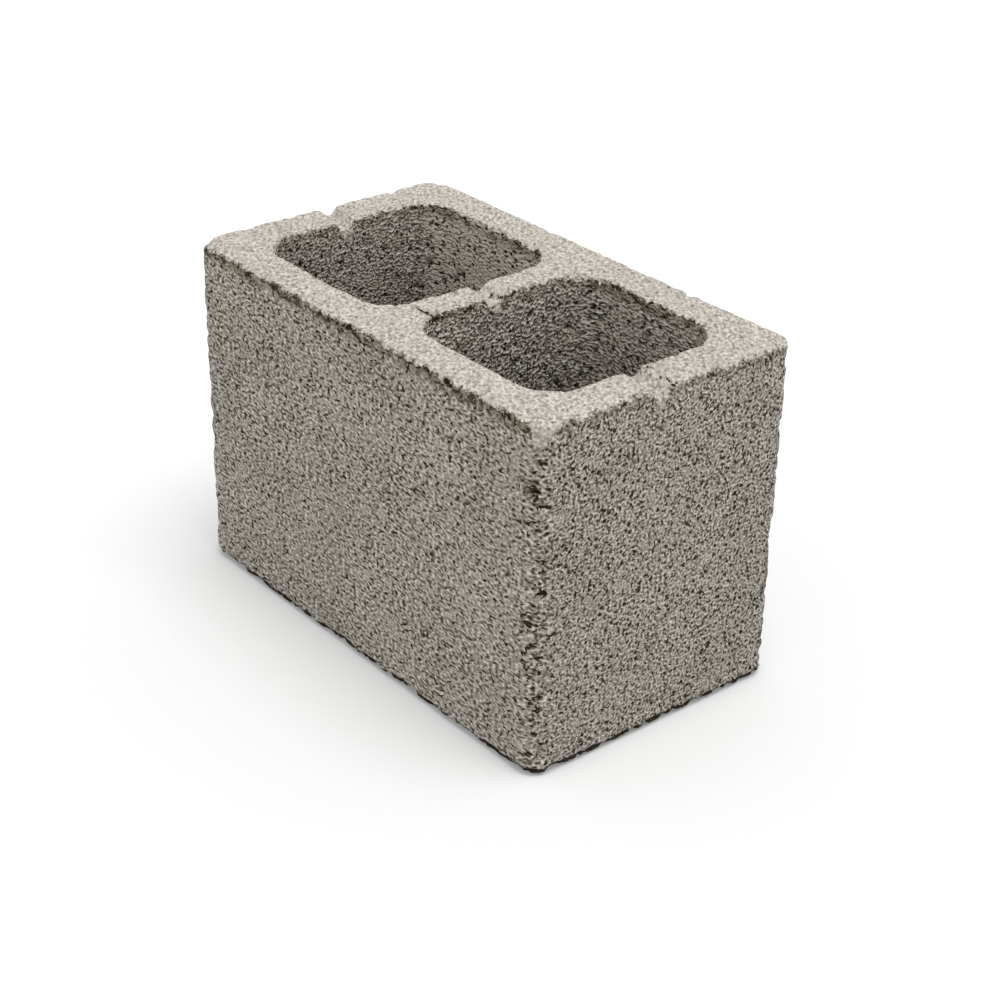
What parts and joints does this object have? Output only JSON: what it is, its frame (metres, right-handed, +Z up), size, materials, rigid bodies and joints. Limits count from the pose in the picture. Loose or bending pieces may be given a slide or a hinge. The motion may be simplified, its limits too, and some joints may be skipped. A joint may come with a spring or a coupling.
{
  "type": "hollow concrete block",
  "caption": "Hollow concrete building block: plain face shells and ends round tapered cells open from bed to bed, with a shallow groove over the webs.",
  "frame": {"origin": "centre of the bottom bed, the face that the block stands on", "axes": "+X along the block's length, +Y through the wall that it builds, +Z up towards the grooved top bed"},
  "size_m": [0.335, 0.19, 0.22],
  "materials": {
    "concrete": "dry-cast, open-textured, pitted, dull"
  },
  "bodies": {
    "root": {"concrete_block": "concrete"}
  },
  "joints": []
}
